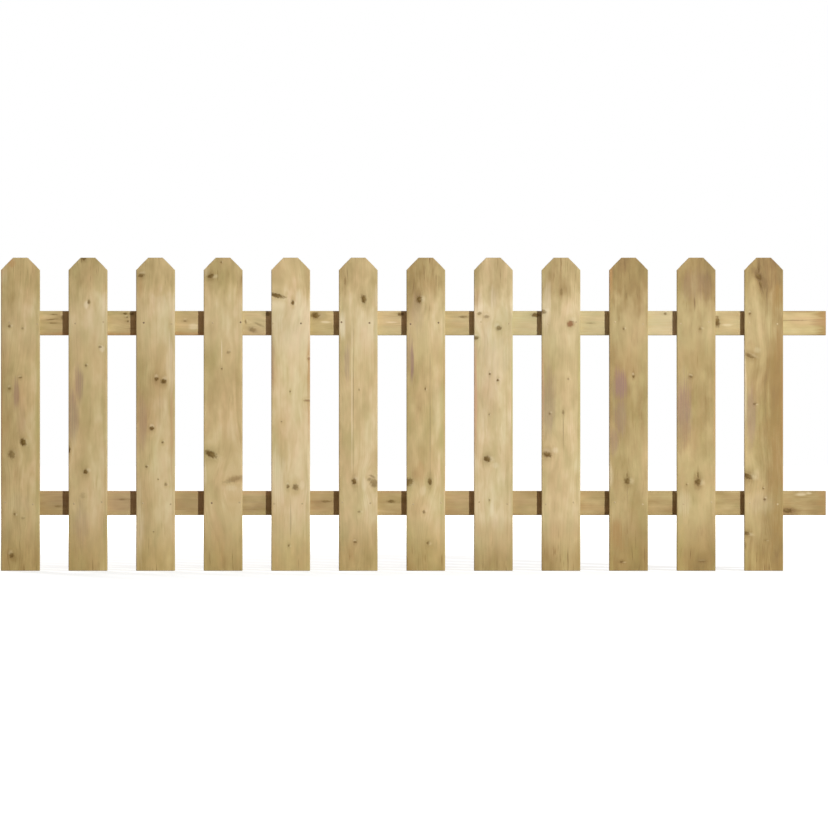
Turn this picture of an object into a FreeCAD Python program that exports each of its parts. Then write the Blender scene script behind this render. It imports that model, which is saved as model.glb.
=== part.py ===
"""Picket fence panel: dog-eared softwood pickets nailed across the front of two rails.

Millimetres. +X runs along the panel, to the right as seen from the front, +Y to the back and +Z up.
The origin is the middle of the bottom rail's back face, which bears on the posts.
"""

import FreeCAD
import Part
import Sketcher
import enum
import os

# Driving dimensions: name, value, what it measures
SIZES = (
    ("picket_count", 12, "pickets along the panel"),
    ("picket_width", 86, "across the face of a picket"),
    ("picket_thickness", 18, "front to back of a picket"),
    ("picket_length", 695, "foot to flat top of a picket"),
    ("picket_gap", 64, "clear gap between neighbouring pickets"),
    ("picket_overhang", 32, "first picket's reach past the rails' left ends"),
    ("picket_edge_radius", 2, "rounding of the pickets' long edges"),
    ("ear_cut", 27, "each way, of the corners sawn off a picket's top"),
    ("rail_height", 54, "top to bottom of a rail"),
    ("rail_thickness", 28, "front to back of a rail"),
    ("rail_edge_radius", 2, "rounding of the rails' long edges"),
    ("rail_spacing", 400, "between the rails' centre lines"),
    ("bottom_rail_rise", 150, "pickets' feet to the bottom rail's centre line"),
)

# Lengths that follow from the sizes. The rails hold a whole number of pitches, so that panels
# set end to end keep the pickets evenly spaced across the joint.
PITCH = "(Sizes.picket_width + Sizes.picket_gap)"
RAIL_LENGTH = f"(Sizes.picket_count * {PITCH})"
FIRST_CENTRE = f"(Sizes.picket_width / 2 - Sizes.picket_overhang - {RAIL_LENGTH} / 2)"

UPWARD = FreeCAD.Vector(0, 0, 1)
ALONG = FreeCAD.Vector(1, 0, 0)
ANGLE_TOLERANCE = 1e-6


class Ref(enum.IntEnum):
    """Sketcher's own numbers for a line's two ends and for the sketch's two axes."""

    START = 1
    END = 2
    ACROSS_AXIS = -1
    UPRIGHT_AXIS = -2


def make_sizes(document):
    """Fill the spreadsheet with the driving dimensions, one aliased cell each."""
    sheet = document.addObject("Spreadsheet::Sheet", "Sizes")
    for row, (name, value, meaning) in enumerate(SIZES, start=1):
        sheet.set(f"A{row}", name)
        sheet.set(f"B{row}", str(value))
        sheet.set(f"C{row}", meaning)
        sheet.setAlias(f"B{row}", name)
    document.recompute()
    return sheet


def start_body(document, label):
    body = document.addObject("PartDesign::Body", label)
    body.Label = label
    return body


def start_sketch(body, plane):
    """A sketch on one of the body's own origin planes."""
    sketch = body.newObject("Sketcher::SketchObject", f"{body.Name}_outline")
    support = next(item for item in body.Origin.OriginFeatures if item.Role == plane)
    sketch.AttachmentSupport = [(support, "")]
    sketch.MapMode = "FlatFace"
    return sketch


def constrain(sketch, *constraint):
    return sketch.addConstraint(Sketcher.Constraint(*constraint))


def draw_outline(sketch, places):
    """Closed outline of straight lines, line i from corner i to the next one. Returns the corners."""
    count = len(places)
    points = [FreeCAD.Vector(across, up, 0) for across, up in places]
    for index, point in enumerate(points):
        sketch.addGeometry(Part.LineSegment(point, points[(index + 1) % count]), False)
    for index in range(count):
        constrain(sketch, "Coincident", index, Ref.END, (index + 1) % count, Ref.START)
    return [(index, Ref.START) for index in range(count)]


def drive(sketch, direction, lower, upper, size):
    """Hold the distance between two corners to a size in the spreadsheet."""
    value = sketch.Document.Sizes.get(size)
    index = constrain(sketch, direction, *lower, *upper, value)
    sketch.setExpression(f"Constraints[{index}]", f"Sizes.{size}")


def pad_with_arrises(body, sketch, length, radius, run):
    """Pad the sketch and round the edges that run the given way, as on a planed board."""
    pad = body.newObject("PartDesign::Pad", f"{body.Name}_board")
    pad.Profile = sketch
    pad.setExpression("Length", length)
    body.Document.recompute()
    long_edges = [
        f"Edge{number}"
        for number, edge in enumerate(pad.Shape.Edges, start=1)
        if edge.Curve.Direction.isParallel(run, ANGLE_TOLERANCE)
    ]
    arrises = body.newObject("PartDesign::Fillet", f"{body.Name}_arrises")
    arrises.Base = (pad, long_edges)
    arrises.setExpression("Radius", radius)
    body.Tip = arrises


def place(body, across, back, up):
    """Tie the body's place to the spreadsheet."""
    body.setExpression("Placement.Base.x", across)
    body.setExpression("Placement.Base.y", back)
    body.setExpression("Placement.Base.z", up)


def make_picket(document, sheet, index):
    """A dog-eared picket. Its own origin is the middle of its foot, on the face that meets the rails."""
    body = start_body(document, f"picket_{index + 1:02d}")
    sketch = start_sketch(body, "XZ_Plane")
    half = sheet.picket_width / 2
    flat = half - sheet.ear_cut
    top = sheet.picket_length
    shoulder = top - sheet.ear_cut
    outline = [(-half, 0), (half, 0), (half, shoulder), (flat, top), (-flat, top), (-half, shoulder)]
    left_foot, right_foot, right_shoulder, right_top, left_top, left_shoulder = draw_outline(sketch, outline)
    constrain(sketch, "PointOnObject", *left_foot, Ref.ACROSS_AXIS)
    constrain(sketch, "Symmetric", *left_foot, *right_foot, Ref.UPRIGHT_AXIS)
    constrain(sketch, "Symmetric", *left_top, *right_top, Ref.UPRIGHT_AXIS)
    constrain(sketch, "Symmetric", *left_shoulder, *right_shoulder, Ref.UPRIGHT_AXIS)
    constrain(sketch, "Vertical", *right_foot, *right_shoulder)
    drive(sketch, "DistanceX", left_foot, right_foot, "picket_width")
    drive(sketch, "DistanceY", right_foot, right_top, "picket_length")
    drive(sketch, "DistanceX", right_top, right_shoulder, "ear_cut")
    drive(sketch, "DistanceY", right_shoulder, right_top, "ear_cut")
    pad_with_arrises(body, sketch, "Sizes.picket_thickness", "Sizes.picket_edge_radius", UPWARD)
    place(body, f"{FIRST_CENTRE} + {index} * {PITCH}", "-Sizes.rail_thickness", "-Sizes.bottom_rail_rise")
    return body


def make_rail(document, sheet, label, rise):
    """A planed batten. Its own origin is its left end, halfway up the back face."""
    body = start_body(document, label)
    sketch = start_sketch(body, "YZ_Plane")
    half = sheet.rail_height / 2
    front = -sheet.rail_thickness
    outline = [(front, -half), (0, -half), (0, half), (front, half)]
    front_foot, back_foot, back_top, front_top = draw_outline(sketch, outline)
    constrain(sketch, "PointOnObject", *back_foot, Ref.UPRIGHT_AXIS)
    constrain(sketch, "Symmetric", *back_foot, *back_top, Ref.ACROSS_AXIS)
    constrain(sketch, "Symmetric", *front_foot, *front_top, Ref.ACROSS_AXIS)
    constrain(sketch, "Horizontal", *front_foot, *back_foot)
    drive(sketch, "DistanceX", front_foot, back_foot, "rail_thickness")
    drive(sketch, "DistanceY", back_foot, back_top, "rail_height")
    pad_with_arrises(body, sketch, RAIL_LENGTH, "Sizes.rail_edge_radius", ALONG)
    place(body, f"-{RAIL_LENGTH} / 2", "0", rise)
    return body


def check(document, pieces):
    """Stop before anything is written if a feature failed or a piece isn't one sound solid."""
    for item in document.Objects:
        if "Invalid" in item.State or "Error" in item.State:
            raise RuntimeError(f"{item.Label} failed: {item.State}")
    for piece in pieces:
        shape = piece.Shape
        if shape.isNull() or not shape.isValid() or len(shape.Solids) != 1:
            raise RuntimeError(f"{piece.Label} isn't one valid solid")


def write(pieces):
    os.makedirs("parts", exist_ok=True)
    for piece in pieces:
        piece.Shape.exportStep(f"parts/{piece.Label}.step")
        box = piece.Shape.BoundBox
        print(f"{piece.Label}: {box.XLength:.2f} x {box.YLength:.2f} x {box.ZLength:.2f} mm")


def main():
    document = FreeCAD.newDocument("picket_fence_panel")
    sheet = make_sizes(document)
    pieces = [make_picket(document, sheet, index) for index in range(int(sheet.picket_count))]
    pieces.append(make_rail(document, sheet, "bottom_rail", "0"))
    pieces.append(make_rail(document, sheet, "top_rail", "Sizes.rail_spacing"))
    document.recompute()
    check(document, pieces)
    write(pieces)


main()
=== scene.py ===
"""Looks of a picket fence panel: planed, pressure-treated softwood boards and nail heads.

Metres in the row frame. A board's own place is in millimetres: across its face, into its depth
and along its grain, from the middle of one end of its front face.
"""

import math

import bmesh
import bpy
from mathutils import Matrix
from mathutils import Vector
from mathutils import noise


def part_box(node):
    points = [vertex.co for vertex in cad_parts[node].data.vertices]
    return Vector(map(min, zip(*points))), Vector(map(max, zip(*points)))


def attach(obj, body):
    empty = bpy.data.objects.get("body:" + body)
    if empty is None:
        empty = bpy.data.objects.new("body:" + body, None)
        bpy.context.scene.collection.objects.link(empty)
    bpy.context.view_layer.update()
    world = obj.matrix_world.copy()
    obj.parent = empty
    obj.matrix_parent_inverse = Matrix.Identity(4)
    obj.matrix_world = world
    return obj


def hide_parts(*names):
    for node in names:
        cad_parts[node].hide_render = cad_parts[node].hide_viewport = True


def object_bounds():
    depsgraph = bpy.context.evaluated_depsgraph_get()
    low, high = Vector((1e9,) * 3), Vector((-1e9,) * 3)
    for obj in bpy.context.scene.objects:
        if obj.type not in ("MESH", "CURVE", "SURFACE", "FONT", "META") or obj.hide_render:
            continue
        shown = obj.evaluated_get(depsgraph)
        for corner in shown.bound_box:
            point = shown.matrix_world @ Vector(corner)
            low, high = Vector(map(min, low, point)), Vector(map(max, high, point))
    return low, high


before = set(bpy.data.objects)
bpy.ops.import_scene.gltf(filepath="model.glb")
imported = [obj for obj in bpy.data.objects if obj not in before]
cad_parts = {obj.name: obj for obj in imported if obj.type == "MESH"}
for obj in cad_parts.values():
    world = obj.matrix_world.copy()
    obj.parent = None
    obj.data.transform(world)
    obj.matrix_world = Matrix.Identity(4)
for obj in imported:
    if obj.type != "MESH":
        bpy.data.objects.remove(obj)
cad_low, cad_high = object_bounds()

MM = 0.001
PICKETS = [f"picket_{number:02d}" for number in range(1, 13)]
RAILS = ["bottom_rail", "top_rail"]


# Node trees


class Graph:
    """Short-hand for building a node tree."""

    def __init__(self, tree):
        self.tree = tree

    def add(self, kind, inputs=None, **settings):
        node = self.tree.nodes.new(kind)
        for name, value in settings.items():
            setattr(node, name, value)
        for key, value in (inputs or {}).items():
            self.feed(node.inputs[key], value)
        return node

    def feed(self, socket, value):
        if isinstance(value, bpy.types.NodeSocket):
            self.tree.links.new(value, socket)
        else:
            socket.default_value = value

    def math(self, operation, first, second=0.0, third=0.0):
        return self.add("ShaderNodeMath", {0: first, 1: second, 2: third}, operation=operation).outputs[0]

    def vector(self, operation, first, second=(0.0, 0.0, 0.0)):
        return self.add("ShaderNodeVectorMath", {0: first, 1: second}, operation=operation).outputs[0]

    def length(self, vector):
        return self.add("ShaderNodeVectorMath", {0: vector}, operation="LENGTH").outputs["Value"]

    def dot(self, first, second):
        node = self.add("ShaderNodeVectorMath", {0: first, 1: second}, operation="DOT_PRODUCT")
        return node.outputs["Value"]

    def scaled(self, vector, scale):
        return self.vector("MULTIPLY", vector, scale)

    def ease(self, value, start, end, low=0.0, high=1.0):
        """Smooth step from low, at start, to high, at end."""
        inputs = {0: value, 1: start, 2: end, 3: low, 4: high}
        return self.add("ShaderNodeMapRange", inputs, interpolation_type="SMOOTHSTEP").outputs[0]

    def noise(self, vector, detail=2.0, roughness=0.5):
        inputs = {"Vector": vector, "Scale": 1.0, "Detail": detail, "Roughness": roughness}
        return self.add("ShaderNodeTexNoise", inputs).outputs

    def swing(self, vector, detail=2.0, roughness=0.5):
        """Noise about zero."""
        return self.math("SUBTRACT", self.noise(vector, detail, roughness)[0], 0.5)

    def mix(self, share, first, second):
        """Colours mixed. Sockets 0, 6, 7 and 2 are the node's factor, its two colours and its result."""
        inputs = {0: share, 6: first, 7: second}
        return self.add("ShaderNodeMix", inputs, data_type="RGBA", clamp_factor=True).outputs[2]

    def split(self, vector):
        return self.add("ShaderNodeSeparateXYZ", {0: vector}).outputs

    def join(self, x, y, z):
        return self.add("ShaderNodeCombineXYZ", {0: x, 1: y, 2: z}).outputs[0]


SOCKETS = {"vector": "NodeSocketVector", "number": "NodeSocketFloat"}


def new_group(name, inputs, outputs):
    """An empty node group, its graph, its input sockets by name and its output node's sockets."""
    tree = bpy.data.node_groups.new(name, "ShaderNodeTree")
    for socket, kind in inputs.items():
        tree.interface.new_socket(socket, in_out="INPUT", socket_type=SOCKETS[kind])
    for socket in outputs:
        tree.interface.new_socket(socket, in_out="OUTPUT", socket_type=SOCKETS["number"])
    given = tree.nodes.new("NodeGroupInput").outputs
    result = tree.nodes.new("NodeGroupOutput").inputs
    return tree, Graph(tree), given, result


# Patterns in the wood: cycles per mm across and along the grain, detail, roughness
PATTERNS = {
    "Fibre": (0.85, 0.018, 3.0, 0.6),
    "Band": (0.085, 0.0045, 2.0, 0.5),
    "Blotch": (0.020, 0.0072, 3.0, 0.5),
    "Cloud": (0.055, 0.022, 2.0, 0.5),
    "Streak": (0.30, 0.018, 2.0, 0.5),
    "Tint": (0.035, 0.012, 2.0, 0.5),
}
TIMBER_PARTS = ("Late", *PATTERNS)

# How far a seed of 1 moves a board through the patterns, mm
SEED_STEP = (61.7, 23.9, 913.1)

# How the pith strays, mm, and the rings, years. Scales are cycles per mm.
PITH_STRAY = 40.0
PITH_SCALE = (0.006, 0.006, 0.0026)
RING_STRAY = 1.6
RING_SCALE = (0.05, 0.05, 0.004)

# Late wood starts, is full and drops at these shares of a year, and is this strong in the weakest year
LATE_START = 0.25
LATE_FULL = 0.88
LATE_DROP = 0.90
LATE_LEAST = 0.3


def make_timber_group():
    """Straight-grained softwood: growth rings about a wandering pith, fibres, bands and blotches.

    Bend is how far a nearby knot pushes the grain aside, in millimetres. All but Late swing about zero.
    """
    inputs = {"Place": "vector", "Seed": "number", "Pith": "vector", "Lean": "vector"}
    inputs |= {"Ring": "number", "Bend": "number"}
    tree, g, given, result = new_group("timber", inputs, TIMBER_PARTS)
    place = g.vector("SUBTRACT", given["Place"], g.join(given["Bend"], 0.0, 0.0))
    shift = g.scaled(g.join(given["Seed"], given["Seed"], given["Seed"]), SEED_STEP)
    moved = g.vector("ADD", place, shift)
    along = g.split(place)[2]
    wander = g.math("MULTIPLY", g.swing(g.scaled(moved, PITH_SCALE), detail=1.0), PITH_STRAY)
    pith = g.vector("ADD", given["Pith"], g.scaled(given["Lean"], g.join(along, along, along)))
    out = g.vector("ADD", g.vector("SUBTRACT", place, pith), g.join(wander, wander, 0.0))
    radius = g.length(g.scaled(out, (1.0, 1.0, 0.0)))
    uneven = g.noise(g.scaled(moved, RING_SCALE))[0]
    phase = g.math("MULTIPLY_ADD", uneven, RING_STRAY, g.math("DIVIDE", radius, given["Ring"]))
    part = g.math("FRACT", phase)
    late = g.math("MULTIPLY", g.ease(part, LATE_START, LATE_FULL), g.ease(part, 1.0, LATE_DROP))
    year = g.add("ShaderNodeTexWhiteNoise", {"W": g.math("FLOOR", phase)}, noise_dimensions="1D").outputs[0]
    strength = g.math("MULTIPLY_ADD", year, 1.0 - LATE_LEAST, LATE_LEAST)
    g.feed(result["Late"], g.math("MULTIPLY", late, strength))
    for name, (across, lengthwise, detail, roughness) in PATTERNS.items():
        scaled = g.scaled(moved, (across, across, lengthwise))
        g.feed(result[name], g.swing(scaled, detail, roughness))
    return tree


KNOT_PARTS = ("Bend", "Core", "Heart", "Warm", "Collar", "Smoke")

# Where a knot's parts end and where they are full, in the knot's half sizes
CORE_FADE = (1.2, 0.45)
HEART_FADE = (0.75, 0.05)
COLLAR_FADE = (1.3, 0.2)
SMOKE_FADE = (1.15, 0.1)

# The heart is this share of the way to the pale side. The smoke is the knot's outline, spread.
HEART_SHARE = (0.38, 0.0, 0.38)
SMOKE_SHRINK = (0.55, 0.0, 0.30)

# How a knot pushes the grain: its strength, and how far along it reaches, in half widths and mm more
PUSH = 1.5
PUSH_WIDTHS = 3.2
PUSH_MORE = 6.0
PUSH_FADE = (1.6, 0.0)


def make_knot_group():
    """One knot, added to those before it. Width and Height measure it, and Ragged tears its outline.

    Bend: how it pushes the grain aside. Core: its dark wood. Heart: where that is lighter. Warm: its
    redness. Collar: the pale wood at one side. Smoke: the darker wood above and below.
    """
    inputs = {name: "vector" for name in ("Place", "Ragged", "Centre", "Width", "Height", "Glow")}
    inputs |= {name: "number" for name in ("Size", "Dark", "Light", "Red", "Pale", *KNOT_PARTS)}
    tree, g, given, result = new_group("knot", inputs, KNOT_PARTS)
    away = g.vector("SUBTRACT", given["Place"], given["Centre"])
    torn = g.join(g.dot(away, given["Width"]), 0.0, g.dot(away, given["Height"]))
    torn = g.vector("ADD", torn, given["Ragged"])
    core = g.ease(g.length(torn), *CORE_FADE)
    lit = g.length(g.vector("SUBTRACT", torn, given["Glow"]))
    heart = g.length(g.vector("SUBTRACT", torn, g.scaled(given["Glow"], HEART_SHARE)))
    smoke = g.ease(g.length(g.scaled(torn, SMOKE_SHRINK)), *SMOKE_FADE)
    beside = g.math("DIVIDE", g.dot(away, (1.0, 0.0, 0.0)), given["Size"])
    push = g.math("DIVIDE", beside, g.math("MULTIPLY_ADD", beside, beside, 1.0))
    reach = g.math("MULTIPLY_ADD", given["Size"], PUSH_WIDTHS, PUSH_MORE)
    far = g.math("ABSOLUTE", g.math("DIVIDE", g.dot(away, (0.0, 0.0, 1.0)), reach))
    push = g.math("MULTIPLY", g.math("MULTIPLY", push, g.ease(far, *PUSH_FADE)), given["Size"])
    found = {
        "Core": g.math("MULTIPLY", core, given["Dark"]),
        "Heart": g.math("MULTIPLY", g.ease(heart, *HEART_FADE), given["Light"]),
        "Warm": g.math("MULTIPLY", core, given["Red"]),
        "Collar": g.math("MULTIPLY", g.ease(lit, *COLLAR_FADE), given["Pale"]),
        "Smoke": g.math("MULTIPLY", smoke, given["Dark"]),
    }
    for name, value in found.items():
        g.feed(result[name], g.math("MAXIMUM", given[name], value))
    g.feed(result["Bend"], g.math("MULTIPLY_ADD", push, PUSH, given["Bend"]))
    return tree


# Where a stain ends and where it is full, in its half sizes
STAIN_FADE = (1.2, 0.35)


def make_stain_group():
    """One stain, added to those before it. Ragged tears its rim, and Streaked thins it along the grain."""
    inputs = {name: "vector" for name in ("Place", "Centre", "Narrow")}
    inputs |= {name: "number" for name in ("Ragged", "Streaked", "Strength", "Stain")}
    tree, g, given, result = new_group("stain", inputs, ["Stain"])
    reach = g.length(g.scaled(g.vector("SUBTRACT", given["Place"], given["Centre"]), given["Narrow"]))
    stain = g.ease(g.math("ADD", reach, given["Ragged"]), *STAIN_FADE)
    stain = g.math("MULTIPLY", g.math("MULTIPLY", stain, given["Streaked"]), given["Strength"])
    g.feed(result["Stain"], g.math("MAXIMUM", given["Stain"], stain))
    return tree


TIMBER = make_timber_group()
KNOT = make_knot_group()
STAIN = make_stain_group()


# Colours, linear

WOOD_RAMP = {
    0.0: (0.76, 0.640, 0.385, 1.0),
    0.30: (0.60, 0.474, 0.237, 1.0),
    0.58: (0.446, 0.342, 0.154, 1.0),
    0.80: (0.325, 0.230, 0.090, 1.0),
    1.0: (0.22, 0.143, 0.055, 1.0),
}
END_GRAIN = (0.34, 0.22, 0.115, 1.0)
OLIVE = (0.40, 0.325, 0.12, 1.0)
CREAM = (0.78, 0.68, 0.43, 1.0)
KNOT_BROWN = (0.108, 0.056, 0.003, 1.0)
KNOT_HEART = (0.31, 0.215, 0.065, 1.0)
KNOT_RED = (0.26, 0.112, 0.040, 1.0)
STAIN_COLOURS = {
    "bark": (0.36, 0.225, 0.085, 1.0),
    "umber": (0.305, 0.192, 0.062, 1.0),
    "purple": (0.295, 0.190, 0.140, 1.0),
    "russet": (0.45, 0.255, 0.10, 1.0),
    "pink": (0.56, 0.345, 0.19, 1.0),
    "moss": (0.47, 0.42, 0.16, 1.0),
    "pale": (0.80, 0.70, 0.46, 1.0),
    "grey": (0.42, 0.435, 0.25, 1.0),
    "crack": (0.20, 0.13, 0.06, 1.0),
}
NAIL_TINTS = ((0.50, 0.395, 0.215, 1.0), (0.20, 0.135, 0.07, 1.0))
NAIL_GRIME = (0.16, 0.10, 0.05, 1.0)


# The darker head and foot are partly painted shade, the light falling off toward the panel's top and
# bottom.
# The shade is partly painted shade, on the side that gets less light, and partly the wood's own tone.
# The boards' looks
#
# brown: how dark, from 0 to 1, halfway along. fall: how much darker the head is than the foot.
# shade: how much browner the left edge is than the right, under 0 where the right one is browner.
# head, foot: how much darker the last stretch at either end is. neck: where the head begins, mm.
# lines: how strong the fine grain is. blue: the share of the blue that is kept, under 1 for yellower.
# pith: across and into the board, mm. ring: a year's growth, mm.
# knots: across, height, half width, half height (mm), turn (degrees), darkness, redness.
# stains: kind, across, height, half width, half height (mm), strength.
# What a board doesn't give is in USUAL_LOOKS.

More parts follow.
